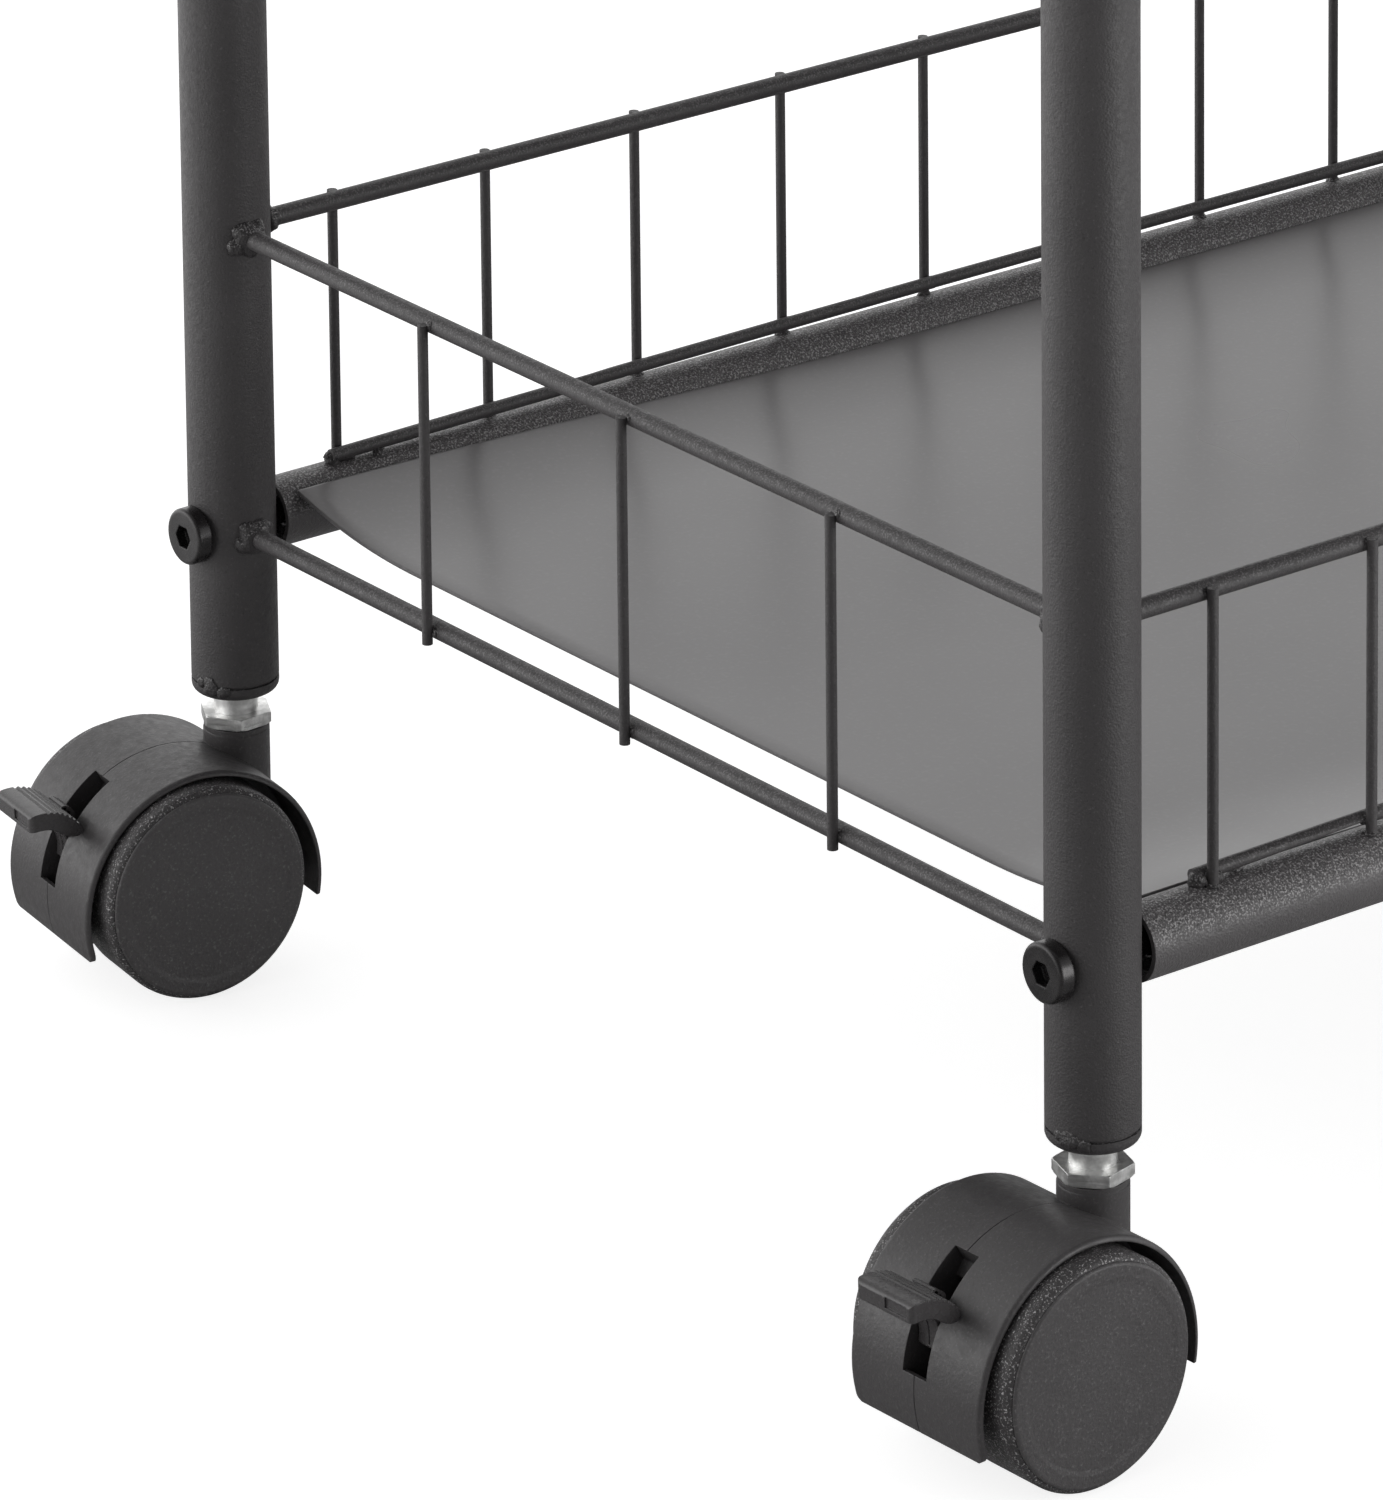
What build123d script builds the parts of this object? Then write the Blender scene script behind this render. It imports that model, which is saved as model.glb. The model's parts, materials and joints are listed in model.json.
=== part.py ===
from build123d import *
import math
import os

# Wire shelf cart: two inverted-U tube end frames, three knock-down shelves bolted
# between them, and four twin-wheel swivel casters with brake levers.
# Millimetres, +Z up, origin on the floor under the centre of the cart.
# Left is -X, right is +X, front is -Y, back is +Y.

os.makedirs("parts", exist_ok=True)

# Plan and heights
POST_SPAN_X = 535.0        # end frame to end frame, post axis to post axis
POST_SPAN_Y = 306.0        # front post to back post, axis to axis
HALF_X = POST_SPAN_X / 2
HALF_Y = POST_SPAN_Y / 2
TIER_Z = {"lower": 101.3, "middle": 391.3, "upper": 681.3}   # shelf tube axes
HANDLE_Z = 840.0           # axis of the top bar of each end frame

# End frame tube
POST_R = 10.0
POST_WALL = 1.2
POST_END_Z = 65.6          # cut lower end of each leg
BEND_R = 62.0              # centreline bend radius
BOLT_HOLE_D = 6.4

# Wires
HEAVY_WIRE_R = 2.2         # end wires and gallery top rail
SEAT_WIRE_R = 1.55         # gallery lower wire
UPRIGHT_WIRE_R = 1.2       # short upright wires
WIRE_GAP_Z = 71.0          # lower end wire to upper end wire
WELD_SINK = 0.25           # how far two welded wires sink into each other
UPRIGHT_OFFSET = HEAVY_WIRE_R + UPRIGHT_WIRE_R - WELD_SINK   # heavy wire to upright

# Shelf tubes
TUBE_R = 8.0
TUBE_WALL = 1.2
TUBE_HALF = HALF_X - POST_R


def save(part, label):
    part.label = label
    export_step(part, f"parts/{label}.step")


def copies(part, *locations):
    """One part holding a copy of the given part at each location."""
    with BuildPart() as placed:
        for location in locations:
            add(part.moved(location))
    return placed.part


# ---------------------------------------------------------------------------
# End frames: one bent tube each, with wire rails between its legs
# ---------------------------------------------------------------------------
END_WIRE_OUT = 0.6         # end wires outboard of the post axis
END_WIRE_INSET = 6.0       # uncoped wire end inside the post axis
END_UPRIGHT_PITCH = 72.3
END_UPRIGHT_DROP = 2.6     # upright foot below the lower wire axis
END_UPRIGHT_LENGTH = WIRE_GAP_Z + 3.1
COPE_MARGIN = 10.0         # coping cut beyond the wires, above and below


def make_end_tube(post_x):
    bend_y = HALF_Y - BEND_R
    bend_z = HANDLE_Z - BEND_R
    with BuildPart() as tube:
        with BuildLine(Plane.YZ.offset(post_x)) as path:
            RadiusArc((-HALF_Y, bend_z), (-bend_y, HANDLE_Z), BEND_R)
            Line((-HALF_Y, POST_END_Z), (-HALF_Y, bend_z))
            Line((-bend_y, HANDLE_Z), (bend_y, HANDLE_Z))
            RadiusArc((bend_y, HANDLE_Z), (HALF_Y, bend_z), BEND_R)
            Line((HALF_Y, bend_z), (HALF_Y, POST_END_Z))
        with BuildSketch(Plane.XY.offset(POST_END_Z)):
            with Locations((post_x, -HALF_Y)):
                Circle(POST_R)
                Circle(POST_R - POST_WALL, mode=Mode.SUBTRACT)
        sweep(path=path.wires()[0])
        # cross holes for the shelf bolts
        for z in TIER_Z.values():
            with BuildSketch(Plane.YZ.offset(post_x)):
                with Locations((-HALF_Y, z), (HALF_Y, z)):
                    Circle(BOLT_HOLE_D / 2)
            extrude(amount=POST_R + 1, both=True, mode=Mode.SUBTRACT)
    return tube.part


def make_end_rail(outward, z):
    """Two wires and three uprights; outward is the sign of X away from the cart."""
    post_x = outward * HALF_X
    wire_x = post_x + outward * END_WIRE_OUT
    upright_x = wire_x + outward * UPRIGHT_OFFSET
    with BuildPart() as rail:
        with BuildSketch(Plane.XZ):
            with Locations((wire_x, z), (wire_x, z + WIRE_GAP_Z)):
                Circle(HEAVY_WIRE_R)
        extrude(amount=HALF_Y - END_WIRE_INSET, both=True)
        with BuildSketch(Plane.XY.offset(z - END_UPRIGHT_DROP)):
            with Locations(*[(upright_x, i * END_UPRIGHT_PITCH) for i in (-1, 0, 1)]):
                Circle(UPRIGHT_WIRE_R)
        extrude(amount=END_UPRIGHT_LENGTH)
        # the wire ends are coped to the round legs
        with BuildSketch(Plane.XY.offset(z - COPE_MARGIN)):
            with Locations((post_x, -HALF_Y), (post_x, HALF_Y)):
                Circle(POST_R)
        extrude(amount=WIRE_GAP_Z + 2 * COPE_MARGIN, mode=Mode.SUBTRACT)
    return rail.part


for side, outward in (("left", -1), ("right", 1)):
    save(make_end_tube(outward * HALF_X), f"{side}_end_tube")
    for tier, z in TIER_Z.items():
        save(make_end_rail(outward, z), f"{side}_end_rail_{tier}")

# ---------------------------------------------------------------------------
# Shelves: two tubes, a thin panel and a wire gallery along each long side
# ---------------------------------------------------------------------------
PANEL_T = 1.0
PANEL_TOP_DZ = 0.6         # flat panel top above the shelf tube axis
PANEL_HALF_X = HALF_X - 14.4
PANEL_EDGE_RISE = 2.6      # the long edges rise to lie on the tubes
PANEL_EDGE_RUN = 29.6
PANEL_EDGE_Y = HALF_Y - 7.4
PANEL_FLAT_Y = PANEL_EDGE_Y - PANEL_EDGE_RUN

GALLERY_FIRST = 30.5       # first upright from the post axis
GALLERY_COUNT = 12
GALLERY_PITCH = (POST_SPAN_X - 2 * GALLERY_FIRST) / (GALLERY_COUNT - 1)
RAIL_INSET_Y = 1.4         # top rail inboard of the shelf tube axis
RAIL_END_GAP = 0.3         # top rail end to post surface
SEAT_END_DZ = 9.9          # lower wire above the tube axis at its ends
SEAT_MID_DZ = 11.6         # and at mid length, it bows upward
SEAT_OVERHANG = 3.4        # lower wire beyond the end uprights
UPRIGHT_TOP_RISE = 1.4     # upright tip above the top rail axis
FOOT_SINK = 1.5            # uncut upright foot below the tube surface


def make_shelf_tube(y, z):
    with BuildPart() as tube:
        with BuildSketch(Plane.YZ):
            with Locations((y, z)):
                Circle(TUBE_R)
                Circle(TUBE_R - TUBE_WALL, mode=Mode.SUBTRACT)
        extrude(amount=TUBE_HALF, both=True)
    return tube.part


def make_gallery():
    """The back gallery, with the shelf tube axis at height zero."""
    rail_y = HALF_Y - RAIL_INSET_Y
    upright_y = rail_y + UPRIGHT_OFFSET
    seat_y = upright_y - (UPRIGHT_WIRE_R + SEAT_WIRE_R - WELD_SINK)
    seat_end = HALF_X - GALLERY_FIRST + SEAT_OVERHANG
    foot_z = math.sqrt(TUBE_R ** 2 - (upright_y - HALF_Y) ** 2)
    upright_xs = [-HALF_X + GALLERY_FIRST + i * GALLERY_PITCH for i in range(GALLERY_COUNT)]
    with BuildPart() as gallery:
        # straight top rail
        with BuildSketch(Plane.YZ):
            with Locations((rail_y, WIRE_GAP_Z)):
                Circle(HEAVY_WIRE_R)
        extrude(amount=TUBE_HALF - RAIL_END_GAP, both=True)
        # bowed lower wire
        with BuildLine(Plane.XZ.offset(-seat_y)) as bow:
            ThreePointArc((-seat_end, SEAT_END_DZ), (0, SEAT_MID_DZ), (seat_end, SEAT_END_DZ))
        with BuildSketch(Plane(origin=bow.line @ 0, z_dir=bow.line % 0)):
            Circle(SEAT_WIRE_R)
        sweep(path=bow.wires()[0])
        with BuildSketch(Plane.XY.offset(foot_z - FOOT_SINK)):
            with Locations(*[(x, upright_y) for x in upright_xs]):
                Circle(UPRIGHT_WIRE_R)
        extrude(amount=WIRE_GAP_Z + UPRIGHT_TOP_RISE - foot_z + FOOT_SINK)
        # the feet of the uprights are saddled to the shelf tube
        with BuildSketch(Plane.YZ):
            with Locations((HALF_Y, 0)):
                Circle(TUBE_R)
        extrude(amount=HALF_X, both=True, mode=Mode.SUBTRACT)
    return gallery.part


def make_panel(z):
    """Flat field with gently raised long edges lying on the tubes."""
    top = z + PANEL_TOP_DZ
    bottom = top - PANEL_T
    edge_top = top + PANEL_EDGE_RISE
    edge_bottom = edge_top - PANEL_T
    flat_y, edge_y = PANEL_FLAT_Y, PANEL_EDGE_Y
    with BuildPart() as panel:
        with BuildSketch(Plane.YZ):
            with BuildLine():
                Line((-flat_y, top), (flat_y, top))
                TangentArc((flat_y, top), (edge_y, edge_top), tangent=(1, 0))
                Line((edge_y, edge_top), (edge_y, edge_bottom))
                TangentArc((flat_y, bottom), (edge_y, edge_bottom), tangent=(1, 0))
                Line((flat_y, bottom), (-flat_y, bottom))
                TangentArc((-flat_y, bottom), (-edge_y, edge_bottom), tangent=(-1, 0))
                Line((-edge_y, edge_bottom), (-edge_y, edge_top))
                TangentArc((-flat_y, top), (-edge_y, edge_top), tangent=(-1, 0))
            make_face()
        extrude(amount=PANEL_HALF_X, both=True)
        # room for the shelf tubes
        with BuildSketch(Plane.YZ):
            with Locations((-HALF_Y, z), (HALF_Y, z)):
                Circle(TUBE_R)
        extrude(amount=HALF_X, both=True, mode=Mode.SUBTRACT)
    return panel.part


gallery = make_gallery()
for tier, z in TIER_Z.items():
    # the front gallery is the back one turned half way round
    for side, y, turn in (("front", -HALF_Y, 180), ("back", HALF_Y, 0)):
        save(make_shelf_tube(y, z), f"{tier}_{side}_tube")
        save(copies(gallery, Location((0, 0, z), (0, 0, turn))), f"{tier}_{side}_gallery")
    save(make_panel(z), f"{tier}_panel")

# ---------------------------------------------------------------------------
# Shelf fasteners: socket-head bolts through the posts into tube nuts
# ---------------------------------------------------------------------------
BOLT_R = 3.0
BOLT_LENGTH = 34.0
BOLT_TIP_CHAMFER = 0.6
BOLT_HEAD_R = 6.5
BOLT_HEAD_H = 3.6
BOLT_HEAD_FILLET = 0.9
BOLT_SOCKET_AF = 5.0       # across flats
BOLT_SOCKET_DEPTH = 2.4
NUT_LENGTH = 10.0
NUT_RECESS = 4.0           # outer nut face inside the tube end
NUT_BORE_R = BOLT_R + 0.02
NUT_CHAMFER = 0.5


def make_bolt():
    """Axis +X, head toward -X, seat of the head at x = 0."""
    with BuildPart() as bolt:
        with BuildSketch(Plane.YZ.offset(-BOLT_HEAD_H)):
            Circle(BOLT_HEAD_R)
        extrude(amount=BOLT_HEAD_H)
        fillet(bolt.edges().filter_by(GeomType.CIRCLE).sort_by(Axis.X)[0], BOLT_HEAD_FILLET)
        with BuildSketch(Plane.YZ):
            Circle(BOLT_R)
        extrude(amount=BOLT_LENGTH)
        chamfer(bolt.edges().filter_by(GeomType.CIRCLE).sort_by(Axis.X)[-1], BOLT_TIP_CHAMFER)
        with BuildSketch(Plane.YZ.offset(-BOLT_HEAD_H)):
            RegularPolygon(BOLT_SOCKET_AF / 2, 6, major_radius=False)
        extrude(amount=BOLT_SOCKET_DEPTH, mode=Mode.SUBTRACT)
    return bolt.part


def make_tube_nut():
    with BuildPart() as nut:
        with BuildSketch(Plane.YZ):
            Circle(TUBE_R - TUBE_WALL)
            Circle(NUT_BORE_R, mode=Mode.SUBTRACT)
        extrude(amount=NUT_LENGTH)
        bore_rims = nut.edges().filter_by(GeomType.CIRCLE).sort_by(SortBy.RADIUS)[0:2]
        chamfer(bore_rims, NUT_CHAMFER)
    return nut.part


def joint_seats(reach):
    """Seats at +/-reach in X on every shelf tube axis, +X turned to point inboard."""
    return [
        Location((outward * reach, front_back * HALF_Y, z), (0, 0, 0 if outward < 0 else 180))
        for z in TIER_Z.values()
        for outward in (-1, 1)
        for front_back in (-1, 1)
    ]


save(copies(make_bolt(), *joint_seats(HALF_X + POST_R)), "shelf_bolts")
save(copies(make_tube_nut(), *joint_seats(TUBE_HALF - NUT_RECESS)), "shelf_tube_nuts")

# ---------------------------------------------------------------------------
# Threaded inserts closing the lower end of each leg
# ---------------------------------------------------------------------------
INSERT_Z0 = 62.0
INSERT_SLIT = 0.6          # open gap between the leg end and the flange
INSERT_OVERLAP = 0.5       # overlap joining shoulder to flange, and spigot to shoulder
INSERT_FLANGE_FILLET = 2.0
SHOULDER_INSET = 0.6       # shoulder radius below the post radius
SPIGOT_LENGTH = 16.0
TAPPING_R = 5.0

# caster name: (x, y, yaw in degrees); the casters trail outboard
CORNERS = {
    "caster_fl": (-HALF_X, -HALF_Y, 2.3),
    "caster_bl": (-HALF_X, HALF_Y, -7.7),
    "caster_fr": (HALF_X, -HALF_Y, 180 - 7.7),
    "caster_br": (HALF_X, HALF_Y, 180 + 2.3),
}


def make_insert():
    flange_top = POST_END_Z - INSERT_SLIT
    with BuildPart() as insert:
        with BuildSketch(Plane.XY.offset(INSERT_Z0)):
            Circle(POST_R)
        extrude(amount=flange_top - INSERT_Z0)
        bottom_rim = insert.edges().filter_by(GeomType.CIRCLE).sort_by(Axis.Z)[0]
        fillet(bottom_rim, INSERT_FLANGE_FILLET)
        # shoulder across the slit
        with BuildSketch(Plane.XY.offset(flange_top - INSERT_OVERLAP)):
            Circle(POST_R - SHOULDER_INSET)
        extrude(amount=INSERT_OVERLAP + INSERT_SLIT)
        # spigot inside the leg
        with BuildSketch(Plane.XY.offset(POST_END_Z - INSERT_OVERLAP)):
            Circle(POST_R - POST_WALL)
        extrude(amount=SPIGOT_LENGTH)
        with BuildSketch(Plane.XY.offset(INSERT_Z0)):
            Circle(TAPPING_R)
        extrude(amount=30, mode=Mode.SUBTRACT)
    return insert.part


insert_places = [Location((x, y, 0)) for x, y, _ in CORNERS.values()]
save(copies(make_insert(), *insert_places), "post_threaded_inserts")

# ---------------------------------------------------------------------------
# Caster, in its own frame: swivel axis on Z, axle trailing toward -X
# ---------------------------------------------------------------------------
RUN_FIT = 0.05             # radial running clearance

# wheels and axle
WHEEL_R = 25.0
AXLE_X, AXLE_Z = -20.0, WHEEL_R
AXLE_R = 3.0
AXLE_HALF = 20.4
AXLE_CHAMFER = 0.5
WHEEL_IN_Y = 7.0           # inner and outer side of a wheel from mid plane
WHEEL_OUT_Y = 25.0
RIM_IN_R = 17.9
TREAD_IN_R = 20.6
LIP_R = 23.7               # core radius outboard of the tread
HUB_R = 6.0
HUB_IN_Y = 4.6

# stem
PIN_R = 4.0
HEX_AF = 14.9              # across flats
HEX_TURN = 11              # degrees
HEX_Z0, HEX_Z1 = 54.3, 57.1
NECK_R = 5.05
THREAD_R = 4.95
STEM_TOP_Z = 85.0

# snap ring
RING_Z = 38.4
RING_T = 1.0
RING_OUT_R = 4.6
RING_IN_R = 3.35
RING_GAP = 1.6

# hood
HOOD_X, HOOD_Z = -18.7, 22.0
HOOD_R = 30.0
WELL_R = HOOD_R - 1.2      # inside of the shell
HOOD_HALF_W = 19.9
HOOD_RIM_FILLET = 1.0
WEB_HALF = 6.2
SOCKET_R = 7.6
SOCKET_TOP_Z = 54.0
SOCKET_H = 24.0
SLOT_HALF = 3.6            # half width of the lever pocket and slot
SPLIT_X = -7.9             # split line runs on the -X side of this
# (x, z) region below the sloping underside
BELOW_HOOD = [(-60, 11.4), (20, 17.5), (20, -20), (-60, -20)]
# (x, z) from the lever pivot
POCKET_OUTLINE = [
    (4.6, 1.2), (2.0, -4.3), (-3.0, -5.3), (-9.5, -5.8), (-22, -9.5), (-36, 0),
    (-36, 30), (-11, 34), (-6.3, 13.5), (-2, 13.3), (4, 12.8), (9.2, 9.4),
]
# (radius from the hood centre, degrees above -X)
SLOT_OUTLINE = [(26, 6), (33, 6), (36, 33), (33, 59), (26, 59), (23, 33)]

# brake lever
PIVOT_X, PIVOT_Z = -28.6, 27.7
TRUNNION_R = 1.6
LEVER_HALF = 3.3
ARM_R = 3.8                # round boss and arm root at the pivot
LUG_REACH = 9.9
LUG_ANGLE = math.radians(97)   # above -X
LUG_X = PIVOT_X - LUG_REACH * math.cos(LUG_ANGLE)
LUG_Z = PIVOT_Z + LUG_REACH * math.sin(LUG_ANGLE)
LUG_R = 1.6
LUG_HALF = 10.4
LUG_ARM_R = 1.9            # round end of the short arm
PAD_HALF = 8.7
PAD_CORNER_R = 1.3
GRIP_GROOVE_R = 0.5
ARM_GROOVE_HALF = 0.22
# (x, z) of the arm from the pivot up to the pad, then back from the outer curve
ARM_UPPER = [
    (-36.0, 34.6), (-40.6, 38.0), (-42.9, 40.6), (-42.9, 42.3), (-43.6, 43.1),
    (-45.4, 44.2), (-46.3, 44.0), (-47.5, 41.5), (-46.6, 38.8),
]
ARM_LOWER = [(-44.6, 30.2), (-43.9, 29.5), (-38.0, 27.0)]
# (x, z) along the top and the underside of the thumb pad
PAD_TOP = [
    (-56.6, 44.7), (-56.1, 45.5), (-54.8, 45.85), (-52.7, 45.9), (-50.6, 45.65),
    (-48.9, 45.15), (-47.3, 44.4), (-45.8, 43.3), (-44.5, 42.0), (-43.8, 40.8),
]
PAD_UNDER = [
    (-45.0, 38.8), (-46.4, 38.9), (-47.9, 39.5), (-49.3, 40.4), (-50.8, 41.3),
    (-52.4, 41.75), (-54.5, 41.85), (-56.5, 41.7),
]
# (x, z) centres of the grooves between the grip ribs
GRIP_GROOVES = [
    (-52.0, 45.95), (-50.5, 45.75), (-49.1, 45.35), (-47.8, 44.75),
    (-46.6, 44.05), (-45.5, 43.2), (-44.6, 42.25),
]
# (x, z) of the groove down the outer (-X) face of the arm
ARM_GROOVE = [
    (-48.4, 39.9), (-46.1, 39.9), (-44.9, 36.3), (-44.35, 34.0), (-44.25, 30.6), (-46.5, 30.6),
]


def make_stem():
    """Threaded shank, neck, hexagon and grooved swivel pin."""
    with BuildPart() as stem:
        with BuildSketch(Plane.XY.offset(HEX_Z0)):
            RegularPolygon(HEX_AF / 2, 6, major_radius=False, rotation=HEX_TURN)
        extrude(amount=HEX_Z1 - HEX_Z0)
        # bevel the corners of the hexagon
        with BuildSketch(Plane.XZ):
            with BuildLine():
                Polyline(
                    (7.8, HEX_Z0 - 0.1), (9.4, HEX_Z0 - 0.1), (9.4, HEX_Z1 + 0.1),
                    (8.0, HEX_Z1 + 0.1), (8.65, HEX_Z1 - 0.25), (8.65, HEX_Z0 + 0.45),
                    close=True,
                )
            make_face()
        revolve(axis=Axis.Z, mode=Mode.SUBTRACT)
        # turned profile, (radius, z) from the pin foot up
        with BuildSketch(Plane.XZ):
            with BuildLine():
                Polyline(
                    (0, 34.2), (3.2, 34.2), (PIN_R, 35.0), (PIN_R, 38.0), (3.3, 38.2),
                    (3.3, 39.6), (PIN_R, 39.8), (PIN_R, HEX_Z0), (6.4, HEX_Z0 + 0.2),
                    (6.4, HEX_Z1 - 0.2), (NECK_R, HEX_Z1 - 0.2), (NECK_R, INSERT_Z0),
                    (THREAD_R, INSERT_Z0), (THREAD_R, STEM_TOP_Z - 1), (4.2, STEM_TOP_Z),
                    (0, STEM_TOP_Z),
                    close=True,
                )
            make_face()
        revolve(axis=Axis.Z)
    return stem.part


def make_snap_ring():
    """Open ring in the pin groove."""
    with BuildPart() as snap_ring:
        with BuildSketch(Plane.XY.offset(RING_Z)):
            Circle(RING_OUT_R)
            Circle(RING_IN_R, mode=Mode.SUBTRACT)
            with Locations((4, 0)):
                Rectangle(4, RING_GAP, mode=Mode.SUBTRACT)
        extrude(amount=RING_T)
    return snap_ring.part


def make_hood():
    """Moulded shell over both wheels, central web and stem socket."""
    bore_r = PIN_R + RUN_FIT
    with BuildPart() as hood:
        with BuildSketch(Plane.XZ):
            with Locations((HOOD_X, HOOD_Z)):
                Circle(HOOD_R)
            # open underside
            with BuildLine():
                Polyline(*BELOW_HOOD, close=True)
            make_face(mode=Mode.SUBTRACT)
        extrude(amount=HOOD_HALF_W, both=True)
        fillet(hood.edges().filter_by(GeomType.CIRCLE), HOOD_RIM_FILLET)
        # wheel wells on both sides of the web
        for side in (-1, 1):
            with BuildSketch(Plane.XZ.offset(-side * WEB_HALF)):
                with Locations((HOOD_X, HOOD_Z)):
                    Circle(WELL_R)
            extrude(amount=-side * 20, mode=Mode.SUBTRACT)
        # stem socket, stepped in slightly at the top
        with BuildSketch(Plane.XY.offset(SOCKET_TOP_Z)):
            Circle(SOCKET_R)
        extrude(amount=-SOCKET_H)
        chamfer(hood.edges().filter_by(GeomType.CIRCLE).group_by(Axis.Z)[-1], 0.3)
        with BuildSketch(Plane.XY.offset(SOCKET_TOP_Z - 1.3)):
            Circle(SOCKET_R + 1)
            Circle(SOCKET_R - 0.15, mode=Mode.SUBTRACT)
        extrude(amount=2, mode=Mode.SUBTRACT)
        # keep the socket out of the wheel wells
        for side in (-1, 1):
            with BuildSketch(Plane.XZ.offset(-side * WEB_HALF)):
                with Locations((HOOD_X, HOOD_Z)):
                    Circle(WELL_R)
            extrude(amount=-side * 20, mode=Mode.SUBTRACT)
        # room for the wheel hubs around the axle
        for side in (-1, 1):
            with BuildSketch(Plane.XZ.offset(-side * (HUB_IN_Y - 0.3))):
                with Locations((AXLE_X, AXLE_Z)):
                    Circle(HUB_R + 0.5)
            extrude(amount=-side * 4, mode=Mode.SUBTRACT)
        # trim the socket foot below the web
        with BuildSketch(Plane.XZ):
            with BuildLine():
                Polyline(*BELOW_HOOD, close=True)
            make_face()
        extrude(amount=30, both=True, mode=Mode.SUBTRACT)
        # axle hole
        with BuildSketch(Plane.XZ):
            with Locations((AXLE_X, AXLE_Z)):
                Circle(AXLE_R)
        extrude(amount=20, both=True, mode=Mode.SUBTRACT)
        # swivel bore with the groove for the snap ring
        with BuildSketch(Plane.XZ):
            with BuildLine():
                Polyline(
                    (0, 33.6), (bore_r, 33.6), (bore_r, 38.0), (4.8, 38.0), (4.8, 39.8),
                    (bore_r, 39.8), (bore_r, 55), (0, 55),
                    close=True,
                )
            make_face()
        revolve(axis=Axis.Z, mode=Mode.SUBTRACT)
        # pocket in the web where the lever works
        with BuildSketch(Plane.XZ):
            with Locations((PIVOT_X, PIVOT_Z)):
                Circle(4.4)
            with BuildLine():
                Polyline(*[(PIVOT_X + x, PIVOT_Z + z) for x, z in POCKET_OUTLINE], close=True)
            make_face()
            with Locations((HOOD_X, HOOD_Z)):
                Circle(WELL_R, mode=Mode.INTERSECT)
        extrude(amount=SLOT_HALF, both=True, mode=Mode.SUBTRACT)
        # slot through the shell for the lever arm
        slot_points = [
            (HOOD_X - radius * math.cos(math.radians(angle)),
             HOOD_Z + radius * math.sin(math.radians(angle)))
            for radius, angle in SLOT_OUTLINE
        ]
        with BuildSketch(Plane.XZ):
            with BuildLine():
                Polyline(*slot_points, close=True)
            make_face()
        extrude(amount=SLOT_HALF, both=True, mode=Mode.SUBTRACT)
        # trunnion holes and brake lug windows in the two cheeks
        with BuildSketch(Plane.XZ):
            with Locations((PIVOT_X, PIVOT_Z)):
                Circle(TRUNNION_R + RUN_FIT)
            with Locations((-27.7, 37.3)):
                SlotOverall(12.6, 5.8)
        extrude(amount=WEB_HALF + 1, both=True, mode=Mode.SUBTRACT)
        # mould split line over the crown, on the mid plane
        with BuildSketch(Plane.XZ):
            with Locations((HOOD_X, HOOD_Z)):
                Circle(HOOD_R + 1)
                Circle(HOOD_R - 0.2, mode=Mode.SUBTRACT)
            with BuildLine():
                Polyline((SPLIT_X, 60), (30, 60), (30, 0), (SPLIT_X, 0), close=True)
            make_face(mode=Mode.SUBTRACT)
        extrude(amount=0.1, both=True, mode=Mode.SUBTRACT)
        # rounded lower corners of the shell on the lever side
        for side in (-1, 1):
            with BuildSketch(Plane.YZ.offset(-60)):
                with Locations((side * (HOOD_HALF_W - 1.65), 12.8)):
                    Rectangle(3.7, 5.4)
                with Locations((side * (HOOD_HALF_W - 3.5), 15.5)):
                    Circle(3.52, mode=Mode.SUBTRACT)
            extrude(amount=25, mode=Mode.SUBTRACT)
    return hood.part


def make_axle():
    with BuildPart() as axle:
        with BuildSketch(Plane.XZ):
            with Locations((AXLE_X, AXLE_Z)):
                Circle(AXLE_R)
        extrude(amount=AXLE_HALF, both=True)
        chamfer(axle.edges().filter_by(GeomType.CIRCLE), AXLE_CHAMFER)
    return axle.part


# The -Y wheel is turned about the axle from sections in (radius, y).
AXLE_LINE = Axis((AXLE_X, 0, AXLE_Z), (0, 1, 0))
WHEEL_PLANE = Plane(origin=(AXLE_X, 0, AXLE_Z), x_dir=(1, 0, 0), z_dir=(0, 0, 1))


def make_wheel_core():
    """Moulded core with a closed outer disc."""
    bore_r = AXLE_R + RUN_FIT
    inner, outer = -WHEEL_IN_Y, -WHEEL_OUT_Y
    with BuildPart() as core:
        with BuildSketch(WHEEL_PLANE):
            with BuildLine():
                Polyline(
                    (bore_r, -HUB_IN_Y), (HUB_R, -HUB_IN_Y), (HUB_R, -21.2), (RIM_IN_R, -22.0),
                    (RIM_IN_R, inner - 0.6), (RIM_IN_R + 0.6, inner), (TREAD_IN_R, inner),
                    (TREAD_IN_R, -22.0), (LIP_R, -23.2), (LIP_R, outer + 0.5),
                )
                ThreePointArc((LIP_R, outer + 0.5), (23.45, outer + 0.15), (22.9, outer))
                Polyline(
                    (22.9, outer), (20.7, outer), (19.6, outer + 0.16), (0, outer + 0.16),
                    (0, -21.0), (bore_r, -21.0), (bore_r, -HUB_IN_Y),
                )
            make_face()
        revolve(axis=AXLE_LINE)
    return core.part


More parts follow.
